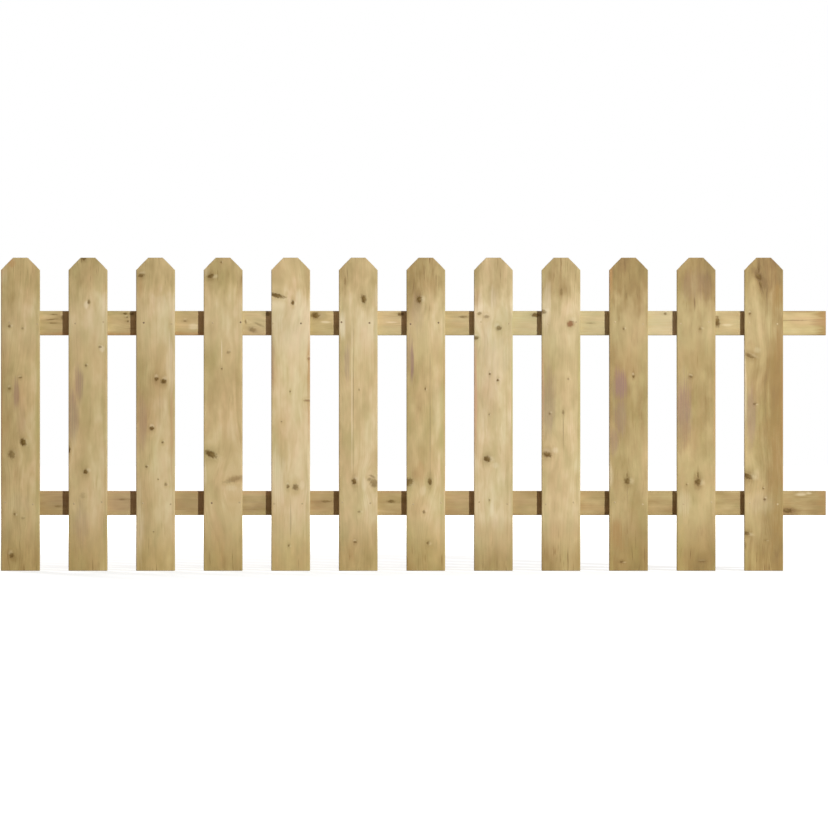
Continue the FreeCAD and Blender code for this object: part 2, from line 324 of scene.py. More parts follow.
PICKET_LOOKS = {
    "picket_01": {
        "brown": 0.39, "fall": -0.04, "shade": 0.16, "head": 0.03, "foot": 0.12, "lines": 0.9,
        "blue": 0.96, "pith": (25, 46), "ring": 3.6,
        "knots": [
            (5, 538, 3.2, 3, 0, 0.45, 0), (0, 429, 5, 2.5, 10, 0.6, 0), (-24, 405, 4, 4, 0, 0.6, 0),
            (6, 285, 7.5, 10, 15, 1.0, 0), (-19, 258, 9, 10, 0, 0.65, 0), (-12, 126, 3, 3, 0, 0.6, 0),
            (6, 117, 5, 3, 0, 0.3, 0), (-19, 34, 6, 6, 30, 0.8, 0), (-24, 543, 4, 3.6, 0, 0.7, 0),
        ],
        "stains": [
            ("purple", -9, 390, 8, 38, 0.65), ("purple", 2, 335, 12, 45, 0.2),
            ("pink", -8, 375, 16, 85, 0.12), ("bark", 0, 330, 50, 110, 0.14),
            ("russet", -20, 684, 12, 12, 0.6), ("russet", -42, 330, 3, 200, 0.5),
            ("russet", -41, 640, 3, 60, 0.5), ("moss", 38, 330, 6, 260, 0.4),
            ("pale", 0, 150, 36, 28, 0.18), ("pale", -36, 655, 10, 28, 0.3), ("bark", -4, 215, 12, 26, 0.3),
        ],
    },
    "picket_02": {
        "brown": 0.34, "shade": 0.14, "foot": 0.12, "lines": 0.55, "pith": (-10, 60), "ring": 4.2,
        "knots": [
            (2, 596, 3.5, 6, 0, 0.75, 0), (27, 497, 4, 3, 0, 0.6, 0), (-4, 456, 3, 3, 0, 0.65, 0),
            (-43, 268, 5, 10, 0, 1.0, 0), (-5, 220, 6, 6, 0, 0.95, 0), (-11, 167, 7, 7, 0, 0.2, 0),
            (-9, 693, 5, 4, 0, 0.9, 0),
        ],
        "stains": [
            ("purple", -20, 415, 11, 48, 0.6), ("purple", -33, 345, 13, 66, 0.6),
            ("purple", -14, 110, 16, 55, 0.3), ("pale", -3, 591, 7, 9, 0.6), ("pale", 31, 493, 7, 8, 0.6),
        ],
    },
    "picket_03": {
        "brown": 0.27, "shade": 0.27, "head": 0.17, "foot": 0.08, "lines": 0.7,
        "pith": (18, 38), "ring": 3.4,
        "knots": [
            (-32, 656, 8, 4.5, 10, 0.75, 0), (2, 426, 5, 5, 0, 0.85, 0), (18, 421, 7, 6, 0, 0.95, 0),
            (-8, 316, 6, 5, 0, 0.95, 0), (16, 285, 3, 3, 0, 0.75, 0), (-20, 231, 3, 3, 0, 0.7, 0),
            (6, 203, 2, 2, 0, 0.6, 0), (23, 192, 4, 4, 0, 0.55, 0), (-4, 87, 2, 2, 0, 0.5, 0),
        ],
        "stains": [
            ("bark", -24, 350, 20, 95, 0.4), ("bark", 4, 385, 40, 75, 0.3), ("bark", 8, 612, 24, 30, 0.2),
            ("purple", -28, 325, 10, 70, 0.35), ("russet", -34, 630, 7, 40, 0.3),
            ("pink", 36, 340, 3, 190, 0.45), ("crack", 10, 385, 0.9, 50, 0.3),
            ("pale", 34, 455, 10, 75, 0.5), ("pale", -38, 95, 13, 105, 0.38),
        ],
    },
    "picket_04": {
        "brown": 0.41, "shade": 0.02, "head": 0.18, "foot": 0.18, "lines": 0.7,
        "pith": (-5, 70), "ring": 4.6,
        "knots": [
            (-4, 685, 2, 2, 0, 0.7, 0), (-27, 654, 8, 5, 12, 0.9, 0), (12, 485, 5, 4, 0, 0.4, 0),
            (-3, 449, 2, 2, 0, 0.6, 0), (-28, 259, 16, 8, -28, 0.95, 0), (24, 203, 25, 6, 18, 0.35, 0),
        ],
        "stains": [
            ("bark", 28, 204, 20, 9, 0.5), ("pale", -3, 490, 1.4, 36, 0.7), ("pale", 16, 184, 22, 8, 0.3),
            ("russet", -10, 60, 20, 60, 0.2), ("moss", 10, 640, 30, 50, 0.25),
            ("pale", -37, 668, 8, 20, 0.3), ("pale", -40, 213, 5, 32, 0.4), ("bark", 20, 285, 30, 50, 0.15),
        ],
    },
    "picket_05": {
        "brown": 0.24, "fall": -0.06, "shade": 0.08, "head": 0.19, "foot": 0.16, "lines": 0.6,
        "blue": 1.03, "pith": (8, 52), "ring": 4.0,
        "knots": [
            (-31, 611, 20, 5.5, -14, 0.95, 0), (5, 595, 4, 6, 0, 0.95, 0), (41, 471, 4, 4, 0, 0.6, 0.8),
            (37, 378, 8, 3, 0, 0.6, 0.9), (-1, 398, 2, 3, 0, 0.6, 0), (-20, 331, 2, 2, 0, 0.55, 0),
            (-6, 187, 4, 5, 0, 0.75, 0), (11, 186, 8, 8, 0, 0.7, 0), (-4, 56, 3, 3, 0, 0.6, 0),
        ],
        "stains": [
            ("russet", 41, 430, 5, 130, 0.7), ("purple", -41, 470, 5, 80, 0.5),
            ("crack", 0, 115, 2.2, 50, 0.35), ("pale", 18, 612, 6, 16, 0.5), ("pale", 26, 190, 7, 10, 0.5),
            ("pale", -28, 548, 18, 26, 0.35), ("pale", -28, 205, 18, 75, 0.55),
            ("pale", 0, 515, 40, 40, 0.25), ("bark", -38, 455, 8, 60, 0.25),
        ],
    },
    "picket_06": {
        "brown": 0.33, "shade": 0.14, "foot": 0.22, "blue": 1.04, "pith": (-18, 42), "ring": 3.4,
        "knots": [
            (12, 603, 6, 10, 10, 0.95, 0), (-9, 198, 6, 8, 10, 0.95, 0), (25, 203, 6, 4, 20, 0.5, 0),
            (35, 195, 10, 11, 0, 0.6, 0), (32, 209, 8, 3, -25, 0.5, 0), (2, 131, 4, 3, 0, 0.5, 0),
            (-7, 64, 4, 3, 0, 0.75, 0), (2, 402, 2, 3, 0, 0.45, 0), (-29, 645, 2, 12, 0, 0.4, 0),
        ],
        "stains": [
            ("purple", -24, 462, 8, 50, 0.4), ("pale", -14, 380, 1.5, 180, 0.6),
            ("crack", -10.5, 380, 1, 180, 0.5), ("pale", 13, 192, 8, 18, 0.5),
            ("pale", -36, 545, 10, 34, 0.6), ("pale", 40, 610, 7, 32, 0.3), ("bark", -18, 40, 14, 40, 0.3),
            ("bark", 36, 80, 8, 34, 0.3),
        ],
    },
    "picket_07": {
        "brown": 0.34, "fall": 0.18, "shade": 0.28, "head": 0.20, "neck": 545, "foot": 0.24,
        "pith": (28, 36), "ring": 3.0,
        "knots": [
            (-15, 602, 7, 8, 0, 0.95, 0), (-1, 404, 2, 3, 0, 0.8, 0), (-38, 197, 10, 11, -25, 0.85, 0),
            (9, 198, 5, 9, 0, 0.9, 0), (-4, 131, 4, 4, 0, 0.6, 0), (5, 62, 4, 4, 0, 0.65, 0),
        ],
        "stains": [
            ("purple", -31, 460, 4.5, 55, 0.95), ("purple", -20, 575, 16, 45, 0.25),
            ("russet", -12, 220, 18, 24, 0.4), ("pale", -6, 178, 9, 12, 0.35),
            ("crack", 9.6, 330, 0.9, 190, 0.5), ("moss", 36, 330, 6, 240, 0.4),
            ("russet", 41.5, 330, 2, 230, 0.4), ("purple", -37, 480, 8, 50, 0.4),
            ("pale", 26, 370, 14, 70, 0.25), ("bark", 8, 628, 18, 28, 0.3),
        ],
    },
    "picket_08": {
        "brown": 0.33, "shade": 0.06, "head": 0.22, "neck": 572, "foot": 0.26, "lines": 0.75,
        "blue": 1.11, "pith": (4, 66), "ring": 4.4,
        "knots": [
            (-31, 571, 6, 4, 20, 0.6, 0), (-15, 564, 7, 4, 0, 0.5, 0), (12, 539, 7, 6, 20, 0.7, 0),
            (-39, 517, 7, 5, 0, 0.8, 0), (-8, 437, 3, 3, 0, 0.8, 0), (10, 423, 3, 4, 0, 0.95, 0),
            (-9, 347, 2, 2, 0, 0.55, 0), (-14, 248, 9, 7, -25, 0.95, 0), (-9, 157, 2.5, 3, 0, 0.5, 0),
        ],
        "stains": [
            ("pink", -40, 395, 5, 140, 0.9), ("bark", -37, 280, 9, 40, 0.25),
            ("moss", 42, 400, 3.5, 220, 0.9), ("purple", -14, 430, 28, 130, 0.15),
            ("pale", 4, 234, 10, 8, 0.3), ("pale", 8, 465, 34, 60, 0.22), ("pale", -3, 138, 5, 18, 0.45),
            ("pale", 0, 606, 10, 28, 0.3), ("bark", -37, 606, 9, 30, 0.85), ("bark", 0, 92, 50, 28, 0.2),
        ],
    },
    "picket_09": {
        "brown": 0.41, "fall": 0.06, "shade": 0.14, "head": 0.17, "neck": 575, "foot": 0.24, "lines": 0.7,
        "blue": 1.07, "pith": (-22, 50), "ring": 3.8,
        "knots": [
            (1, 619, 3, 9, 0, 0.4, 0), (-39, 575, 7, 5, 0, 0.75, 0), (21, 548, 8, 8, 0, 0.9, 0.85),
            (16, 426, 3, 3, 0, 0.5, 0.5), (-25, 349, 3, 3, 0, 0.6, 0), (5, 352, 3, 6, 0, 0.5, 0),
            (-31, 258, 11, 7, -15, 0.95, 0),
        ],
        "stains": [
            ("russet", 22, 548, 14, 10, 0.5), ("pink", -41, 395, 4, 110, 0.6),
            ("purple", -27, 375, 17, 90, 0.4), ("crack", 5, 310, 0.9, 45, 0.6),
            ("moss", 41, 420, 4, 150, 0.6), ("pale", -14, 268, 9, 8, 0.4), ("pale", -34, 590, 13, 66, 0.35),
            ("bark", 8, 88, 50, 28, 0.22), ("bark", 36, 35, 12, 36, 0.45),
        ],
    },
    "picket_10": {
        "brown": 0.69, "fall": 0.10, "shade": 0.04, "head": 0.12, "neck": 560, "foot": 0.16, "lines": 0.4,
        "pith": (15, 58), "ring": 4.2,
        "knots": [
            (-11, 537, 3, 3, 0, 0.6, 0), (11, 432, 3, 4, 0, 0.75, 0), (-3, 199, 7.5, 8, 0, 0.9, 0),
            (-3, 213, 2.5, 7, 0, 0.5, 0), (-15, 20, 5, 2, 0, 0.6, 0),
        ],
        "stains": [
            ("purple", -19, 412, 18, 42, 1.0), ("purple", -17, 345, 17, 55, 0.55),
            ("purple", -31, 288, 12, 36, 0.5), ("bark", -26, 80, 20, 40, 0.8),
            ("pale", -40, 213, 6, 32, 0.4), ("bark", 4, 460, 40, 40, 0.15),
            ("russet", -39, 640, 6, 55, 0.6), ("crack", -3, 170, 1, 22, 0.4),
        ],
    },
    "picket_11": {
        "brown": 0.71, "fall": 0.12, "shade": -0.06, "head": 0.12, "neck": 560, "foot": 0.22, "lines": 0.35,
        "pith": (-12, 54), "ring": 4.0,
        "knots": [
            (9, 537, 4, 3, 0, 0.45, 0), (-12, 431, 5, 3, -20, 0.6, 0), (4, 197, 7.5, 8, 0, 0.95, 0),
            (4, 212, 2.5, 8, 0, 0.7, 0), (-21, 192, 2, 2, 0, 0.6, 0), (13, 21, 9, 2, 0, 0.35, 0),
        ],
        "stains": [
            ("purple", -27, 350, 20, 92, 0.7), ("purple", 0, 635, 40, 40, 0.25),
            ("russet", 42, 350, 3, 180, 0.5), ("pale", -28, 150, 18, 30, 0.3),
            ("bark", 8, 480, 16, 40, 0.2), ("bark", -28, 292, 18, 44, 0.45),
        ],
    },
    "picket_12": {
        "brown": 0.84, "fall": 0.19, "shade": -0.22, "head": 0.04, "neck": 545, "foot": 0.14, "lines": 0.6,
        "pith": (34, 34), "ring": 2.8,
        "knots": [
            (-11, 652, 6.5, 10, 35, 1.0, 0), (-7, 636, 3, 10, 12, 0.8, 0), (-11, 671, 2.5, 11, 0, 0.7, 0),
            (-31, 571, 3, 3, 0, 0.7, 0), (-31, 477, 13, 4.5, -25, 0.65, 0), (-20, 370, 4, 2, 0, 0.65, 0),
            (-36, 210, 13, 6, -22, 1.0, 0), (-1, 183, 2, 2, 0, 0.7, 0), (2, 159, 3, 3, 0, 0.7, 0),
            (-38, 83, 8, 4, -10, 0.85, 0), (4, 68, 4, 2, 0, 0.3, 0),
        ],
        "stains": [
            ("umber", 30, 330, 23, 330, 0.75), ("umber", 33, 610, 15, 36, 0.9),
            ("crack", 7, 594, 1.2, 18, 0.4), ("umber", 39, 320, 7, 220, 1.0),
            ("russet", 41, 330, 2, 160, 0.4), ("purple", -28, 345, 13, 80, 0.5),
            ("pale", -41, 400, 3, 90, 0.5), ("pale", -14, 490, 9, 8, 0.2), ("pale", -18, 214, 10, 14, 0.2),
            ("pale", -8, 150, 36, 28, 0.22),
        ],
    },
}

# A rail's across is height from its middle, and its height is the distance from its left end.
RAIL_LOOKS = {
    "top_rail": {
        "brown": 0.43, "shade": 0.06, "pith": (5, 30), "ring": 3.2,
        "knots": [
            (19, 84, 1.5, 9, 5, 0.6, 0), (8, 78, 1.5, 12, -6, 0.6, 0), (0, 82, 1.3, 10, 0, 0.5, 0),
            (12, 103, 6, 3, 0, 0.5, 0), (21, 243, 2.5, 5, 0, 0.85, 0), (13, 247, 2.5, 3, 0, 0.65, 0),
            (4, 249, 2.5, 3, 0, 0.65, 0), (21, 257, 4, 6, 0, 0.8, 0), (5, 376, 3, 4, 0, 0.5, 0),
            (3, 511, 5, 2.5, 0, 0.65, 0), (-15, 526, 6, 10, 20, 0.55, 0), (-3, 540, 2.5, 13, 25, 0.35, 0),
            (20, 560, 5, 6, 0, 0.7, 0), (17, 666, 8, 10, 0, 0.95, 0), (20, 855, 5, 9, 0, 0.9, 0),
            (14, 994, 3, 11, 0, 0.65, 0), (18, 1155, 5, 12, 0, 0.95, 0), (0, 1277, 2, 9, 0, 0.4, 0),
            (21, 1443, 4, 4, 0, 0.75, 0), (3, 1558, 14, 7, 0, 0.95, 0), (6, 1725, 1.4, 40, 0, 0.35, 0),
        ],
        "stains": [
            ("umber", 0, 1812, 400, 44, 1.0), ("bark", 0, 1812, 400, 28, 0.8),
            ("russet", 0, 1808, 400, 14, 0.4), ("russet", -25, 300, 7, 300, 0.7),
            # The umber line at across 26 near the right end is painted shade along the top arris.
            ("umber", 26, 1750, 3, 60, 0.8), ("pink", 4, 1760, 14, 44, 0.3), ("bark", 0, 987, 60, 60, 0.2),
            ("bark", 0, 1586, 60, 60, 0.2), ("pale", 0, 536, 60, 70, 0.2), ("pale", 0, 836, 60, 60, 0.1),
            ("pale", 0, 1136, 60, 70, 0.18), ("pale", 0, 1286, 60, 70, 0.1),
            ("pale", 0, 1436, 60, 80, 0.28), ("grey", 0, 1290, 60, 440, 0.28),
            ("pale", -8, 395, 8, 12, 0.5), ("pale", 2, 688, 3, 12, 0.6), ("pale", 2, 836, 2.5, 16, 0.6),
            ("pale", -4, 1580, 4, 14, 0.5),
        ],
    },
    "bottom_rail": {
        "brown": 0.585, "fall": 0.26, "shade": 0.06, "pith": (-8, 36), "ring": 3.6,
        "knots": [
            (-7, 94, 2.5, 8, 0, 0.4, 0), (8, 238, 2, 10, 0, 0.4, 0), (4, 689, 3, 13, 0, 0.55, 0),
            (4, 835, 4, 9, 0, 0.75, 0), (-17, 1715, 6, 11, 0, 0.95, 0),
        ],
        "stains": [
            ("bark", 0, 1806, 400, 26, 0.7), ("purple", 4, 330, 26, 330, 0.25),
            ("pink", 25, 500, 6, 450, 0.4), ("bark", 0, 60, 60, 60, 0.4), ("bark", -8, 1712, 24, 16, 0.45),
            ("russet", 0, 1060, 60, 320, 0.22), ("pale", 20, 1745, 5, 14, 0.5),
            ("pale", 22, 1762, 3, 8, 0.5), ("pink", 0, 236, 60, 75, 0.18), ("russet", 0, 386, 60, 75, 0.2),
            ("pink", 0, 686, 60, 75, 0.18), ("purple", 4, 1060, 40, 140, 0.2),
        ],
    },
}

USUAL_LOOKS = {"fall": 0.0, "lines": 0.8, "blue": 1.0, "head": 0.13, "neck": 590.0}


# Wood


class Board:
    """A board's node, its size in millimetres and its place in the row."""

    def __init__(self, node, upright):
        low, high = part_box(node)
        across, along = (0, 2) if upright else (2, 0)
        self.node = node
        self.upright = upright
        self.half = 0.5 * (high[across] - low[across]) / MM
        self.thick = (high[1] - low[1]) / MM
        self.length = (high[along] - low[along]) / MM
        self.origin = Vector(low)
        self.origin[across] = 0.5 * (low[across] + high[across])

    def place(self, across, depth, along):
        """The place in the row of a point given in the board's own directions."""
        row = (across, depth, along) if self.upright else (along, depth, across)
        return self.origin + MM * Vector(row)


def board_place(g, board):
    """The shaded point in the board's own directions, in millimetres."""
    row = g.add("ShaderNodeTexCoord").outputs["Object"]
    place = g.scaled(g.vector("SUBTRACT", row, board.origin), (1 / MM, 1 / MM, 1 / MM))
    if board.upright:
        return place
    x, y, z = g.split(place)
    return g.join(z, y, x)


# How knots' outlines are torn: cycles per mm, and how far in half sizes
TORN_SCALE = (0.24, 0.10, 0.20)
TORN = (1.15, 0.0, 1.15)

# How light a dark knot's heart is
HEART_LIGHT = 0.42

# The pale wood at one side of a knot: its strength, the largest half size that has it in full (mm) and
# how far out it is (half sizes). Its angle, in radians, swings from knot to knot.
PALE_STRENGTH = 0.5
PALE_LARGEST = 6.0
PALE_OUT = 1.2
PALE_ANGLE = 0.7
PALE_SWING = 1.1
SWING_PER_KNOT = 2.3
SWING_PER_MM = 0.1

# A knot that is more than this many times as long as wide has no pale wood beside it
LONG_KNOT = 1.5


def pale_strength(half_width, half_height, dark):
    """How strong the pale wood beside a knot is: weaker at a large knot, none at a long one."""
    if half_height > LONG_KNOT * half_width:
        return 0.0
    width_share = min(1.0, PALE_LARGEST / half_width)
    height_share = min(1.0, PALE_LARGEST / half_height)
    return PALE_STRENGTH * dark * width_share * height_share


def add_knots(g, place, knots):
    """Chain the board's knots and return what they come to, by name."""
    ragged = g.noise(g.scaled(place, TORN_SCALE))["Color"]
    ragged = g.scaled(g.vector("SUBTRACT", ragged, (0.5, 0.5, 0.5)), TORN)
    state = {name: 0.0 for name in KNOT_PARTS}
    for number, (across, along, half_width, half_height, turn, dark, red) in enumerate(knots):
        side = PALE_ANGLE + PALE_SWING * math.sin(SWING_PER_KNOT * number + SWING_PER_MM * along)
        lean = Matrix.Rotation(math.radians(-turn), 3, "Y")
        values = {
            "Place": place,
            "Ragged": ragged,
            "Centre": (across, 0.0, along),
            "Width": lean @ Vector((1.0 / half_width, 0.0, 0.0)),
            "Height": lean @ Vector((0.0, 0.0, 1.0 / half_height)),
            "Glow": (PALE_OUT * math.cos(side), 0.0, PALE_OUT * math.sin(side)),
            "Size": half_width,
            "Dark": dark,
            "Light": HEART_LIGHT * (1.0 - red),
            "Red": red,
            "Pale": pale_strength(half_width, half_height, dark),
        }
        node = g.add("ShaderNodeGroup", values | state, node_tree=KNOT)
        state = {name: node.outputs[name] for name in KNOT_PARTS}
    return state


# How stains' rims are torn, broadly and finely: cycles per mm, and how far in half sizes
RIM_BROAD_SCALE = (0.07, 0.07, 0.016)
RIM_FINE_SCALE = (0.40, 0.40, 0.014)
RIM_BROAD = 1.2
RIM_FINE = 0.8

# How the fine pattern thins a stain: from where to where, and the strengths that are left there
STREAKED = (0.16, -0.10, 0.65, 1.0)

# How deep a stain goes into the board, mm
STAIN_DEPTH = 50.0


def add_stains(g, place, stains):
    """Chain the board's stains and return the strength of each kind."""
    broad = g.swing(g.scaled(place, RIM_BROAD_SCALE))
    fine = g.swing(g.scaled(place, RIM_FINE_SCALE))
    ragged = g.math("MULTIPLY_ADD", fine, RIM_FINE, g.math("MULTIPLY", broad, RIM_BROAD))
    streaked = g.ease(fine, *STREAKED)
    strengths = {}
    for kind, across, along, half_width, half_height, strength in stains:
        values = {
            "Place": place,
            "Centre": (across, 0.0, along),
            "Narrow": (1.0 / half_width, 1.0 / STAIN_DEPTH, 1.0 / half_height),
            "Ragged": ragged,
            "Streaked": streaked,
            "Strength": strength,
            "Stain": strengths.get(kind, 0.0),
        }
        strengths[kind] = g.add("ShaderNodeGroup", values, node_tree=STAIN).outputs["Stain"]
    return strengths


# How far a board's pith leans, mm per mm, in a direction that its seed gives
LEAN = 0.02
LEAN_TURN = 1.7


def add_timber(g, place, looks, seed, bend):
    """The board's own grain, by name."""
    values = {
        "Place": place,
        "Seed": seed,
        "Pith": (*looks["pith"], 0.0),
        "Lean": (LEAN * math.sin(seed), LEAN * math.cos(LEAN_TURN * seed), 0.0),
        "Ring": looks["ring"],
        "Bend": bend,
    }
    node = g.add("ShaderNodeGroup", values, node_tree=TIMBER)
    return {name: node.outputs[name] for name in TIMBER_PARTS}


def add_ramp(g, value):
    node = g.add("ShaderNodeValToRGB", {0: value})
    stops = node.color_ramp.elements
    while len(stops) < len(WOOD_RAMP):
        stops.new(0.5)
    for stop, (position, tint) in zip(stops, WOOD_RAMP.items()):
        stop.position = position
        stop.color = tint
    return node.outputs[0]


# How much the patterns brown the wood: in any case, and more by the strength of the fine lines
PATTERN_BROWN = {
    "Late": (0.0, 0.08),
    "Band": (0.0, 0.40),
    "Fibre": (0.0, 0.22),
    "Cloud": (0.30, 0.28),
    "Blotch": (0.5, 0.0),
}
SMOKE_BROWN = 0.28
BROWN_SHIFT = -0.03

# Short brown dashes: where the streaks start and are full, how brown, and how much more near both ends
DASH_FADE = (0.12, 0.28)
DASH_BROWN = 0.14
DASH_AT_ENDS = 0.28

# How far the patterns sway what follows the places across and along a board, mm
ACROSS_SWAY = 50.0
ALONG_SWAY = {"Band": 30.0, "Cloud": 60.0}

# The shade starts and is full at these shares of half the width
SHADE_FADE = (0.7, -1.1)

# A picket's head gets dark over this length, and its foot between these heights, mm
HEAD_FADE = 75.0
FOOT_FADE = (115.0, 5.0)
BLUE_AT_FOOT = -0.15

# Paler stretches of a picket: rise, full, fade, end (height, mm), how much paler, how much bluer
PALER = [(450.0, 540.0, 575.0, 645.0, 0.12, 0.07), (85.0, 135.0, 300.0, 400.0, 0.08, 0.0)]


def add_brown(g, board, looks, place, grain, knots):
    """How brown the wood is, the share of its blue that is kept, and the swayed place across."""
    across, _, along = g.split(place)
    side = g.math("MULTIPLY_ADD", grain["Band"], ACROSS_SWAY, across)
    # Painted shade in part: the left edge, or a rail's lower edge, browned as if it got less light.
    shade = g.ease(side, *(share * board.half for share in SHADE_FADE))
    fall = g.math("MULTIPLY_ADD", along, 1.0 / board.length, -0.5)
    terms = []
    for name, (always, with_lines) in PATTERN_BROWN.items():
        terms.append((grain[name], always + with_lines * looks["lines"]))
    terms += [(knots["Smoke"], SMOKE_BROWN), (shade, looks["shade"]), (fall, looks["fall"])]
    dash_brown = DASH_BROWN
    blue = looks["blue"]
    if board.upright:
        height = along
        for name, sway in ALONG_SWAY.items():
            height = g.math("MULTIPLY_ADD", grain[name], sway, height)
        # Painted shade in part: the head and the foot darkened as the light falls off toward the panel's
        # ends.
        head = g.ease(height, looks["neck"], looks["neck"] + HEAD_FADE)
        foot = g.ease(height, *FOOT_FADE)
        terms += [(head, looks["head"]), (foot, looks["foot"])]
        for rise, full, fade, end, paler, bluer in PALER:
            stretch = g.math("MULTIPLY", g.ease(height, rise, full), g.ease(height, end, fade))
            terms.append((stretch, -paler))
            blue = g.math("MULTIPLY_ADD", stretch, bluer, blue)
        blue = g.math("MULTIPLY_ADD", foot, BLUE_AT_FOOT, blue)
        dash_brown = g.math("MULTIPLY_ADD", g.math("MAXIMUM", head, foot), DASH_AT_ENDS, dash_brown)
    brown = g.math("MULTIPLY", g.ease(grain["Streak"], *DASH_FADE), dash_brown)
    brown = g.math("ADD", brown, looks["brown"] + BROWN_SHIFT)
    for value, weight in terms:
        brown = g.math("MULTIPLY_ADD", value, weight, brown)
    return brown, blue, side


# Olive wood in the blotches, from where to where and its least and most share, and along both edges:
# how wide, mm, and its most share
OLIVE_BLOTCH = (0.02, 0.25, 0.0, 0.35)
OLIVE_RIM = 9.0
OLIVE_RIM_SHARE = 0.25

# End grain: how squarely a face looks along the board where it starts and is full, its least and most share
END_FACING = (0.45, 0.65, 0.0, 0.6)

# How the tint swings the red and the green, and how far the green follows the blue
TINT_RED = 0.12
TINT_GREEN = -0.10
GREEN_WITH_BLUE = 0.2


def add_colour(g, board, looks, place, grain, knots):
    """The board's colour: wood, stains over it, knots over those, and end grain."""
    brown, blue, side = add_brown(g, board, looks, place, grain, knots)
    colour = g.mix(g.ease(grain["Blotch"], *OLIVE_BLOTCH), add_ramp(g, brown), OLIVE)
    rim = g.ease(g.math("ABSOLUTE", side), board.half - OLIVE_RIM, board.half, 0.0, OLIVE_RIM_SHARE)
    colour = g.mix(rim, colour, OLIVE)
    for kind, strength in add_stains(g, place, looks["stains"]).items():
        colour = g.mix(strength, colour, STAIN_COLOURS[kind])
    colour = g.mix(knots["Collar"], colour, CREAM)
    knot = g.mix(knots["Heart"], g.mix(knots["Warm"], KNOT_BROWN, KNOT_RED), KNOT_HEART)
    colour = g.mix(knots["Core"], colour, knot)
    facing = g.split(g.add("ShaderNodeNewGeometry").outputs["Normal"])[2 if board.upright else 0]
    colour = g.mix(g.ease(g.math("ABSOLUTE", facing), *END_FACING), colour, END_GRAIN)
    red = g.math("MULTIPLY_ADD", grain["Tint"], TINT_RED, 1.0)
    green = g.math("MULTIPLY_ADD", blue, GREEN_WITH_BLUE, 1.0 - GREEN_WITH_BLUE)
    green = g.math("MULTIPLY_ADD", grain["Tint"], TINT_GREEN, green)
    return g.scaled(colour, g.join(red, green, blue))


ROUGHNESS = 0.67
ROUGH_WITH_FIBRE = 0.25
ROUGH_AT_KNOT = -0.12
SPECULAR = 0.3

# The grain's relief: how much late wood counts beside fibres, its strength and its height, mm
RELIEF_OF_LATE = 0.4
BUMP_STRENGTH = 0.22
BUMP_HEIGHT = 0.4


def make_wood(board, looks, seed):
    """The material of one board, with its own grain, knots and stains."""
    looks = USUAL_LOOKS | looks
    material = bpy.data.materials.new(f"{board.node}_wood")
    material.use_nodes = True
    g = Graph(material.node_tree)
    shader = material.node_tree.nodes["Principled BSDF"].inputs
    place = board_place(g, board)
    knots = add_knots(g, place, looks["knots"])
    grain = add_timber(g, place, looks, seed, knots["Bend"])
    g.feed(shader["Base Color"], add_colour(g, board, looks, place, grain, knots))
    rough = g.math("MULTIPLY_ADD", grain["Fibre"], ROUGH_WITH_FIBRE, ROUGHNESS)
    g.feed(shader["Roughness"], g.math("MULTIPLY_ADD", knots["Core"], ROUGH_AT_KNOT, rough))
    g.feed(shader["Specular IOR Level"], SPECULAR)
    relief = g.math("MULTIPLY_ADD", grain["Late"], RELIEF_OF_LATE, grain["Fibre"])
    inputs = {"Height": relief, "Strength": BUMP_STRENGTH, "Distance": BUMP_HEIGHT * MM}
    g.feed(shader["Normal"], g.add("ShaderNodeBump", inputs).outputs[0])
    return material


# Boards, in millimetres

ARRIS_STEPS = 4
DEPTH_STEPS = 3
ROW_SPACING = 8.0
COLUMN_SPACING = 6.0
EAR_CUT = 27.0
SHARP_ANGLE = math.radians(32.0)

# The arrises' rounding, how much it varies and over what length, and how far the ends' rims are worn
EDGE_RADIUS = 1.9
EDGE_UNEVEN = 0.5
EDGE_WEAR_LENGTH = 45.0
WORN_END = 0.6

# How deep a face waves, and over what width and length
FACE_WAVE = 0.12
WAVE_ACROSS = 22.0
WAVE_ALONG = 70.0

# How far the seed and the corner move these through the noise
WEAR_PER_SEED = 7.3
WEAR_PER_CORNER = 3.1
WAVE_PER_SEED = 5.1

# Flat face between an arris and the outermost column, and how near to an edge its rim is
EDGE_ROOM = 2.0
NEAR_EDGE = 4.0

# Pickets' seeds are their numbers, and rails' seeds start here
FIRST_RAIL_SEED = 31


def even_steps(start, end, most):
    count = max(1, math.ceil(abs(end - start) / most))
    return [start + (end - start) * step / count for step in range(count + 1)]


def face_columns(half, flat):
    """Places across a board's face, with one at each corner of a dog-eared top."""
    edge = half - EDGE_RADIUS - EDGE_ROOM
    marks = [-edge, -flat, flat, edge] if flat else [-edge, edge]
    columns = []
    for start, end in zip(marks, marks[1:]):
        columns += even_steps(start, end, COLUMN_SPACING)[:-1]
    return columns + [edge]


def arris(board, corner, radius):
    """Points round a long edge. The corners are right front, right back, left back and left front."""
    across = board.half - radius if corner in (0, 1) else radius - board.half
    depth = board.thick - radius if corner in (1, 2) else radius
    points = []
    for step in range(ARRIS_STEPS + 1):
        angle = math.radians(90.0 * (corner - 1 + step / ARRIS_STEPS))
        points.append((across + radius * math.cos(angle), depth + radius * math.sin(angle)))
    return points


def between(first, last):
    """The points that divide the way from one point to another."""
    shares = [step / DEPTH_STEPS for step in range(1, DEPTH_STEPS)]
    return [tuple(a + (b - a) * share for a, b in zip(first, last)) for share in shares]


def section(board, columns, radii):
    """The outline across the grain: front face, right edge, back face, left edge."""
    arrises = [arris(board, corner, radius) for corner, radius in enumerate(radii)]
    right_front, right_back, left_back, left_front = arrises
    front = [(across, 0.0) for across in columns]
    right = right_front + between(right_front[-1], right_back[0]) + right_back
    back = [(across, board.thick) for across in reversed(columns)]
    left = left_back + between(left_back[-1], left_front[0]) + left_front
    return front + right + back + left


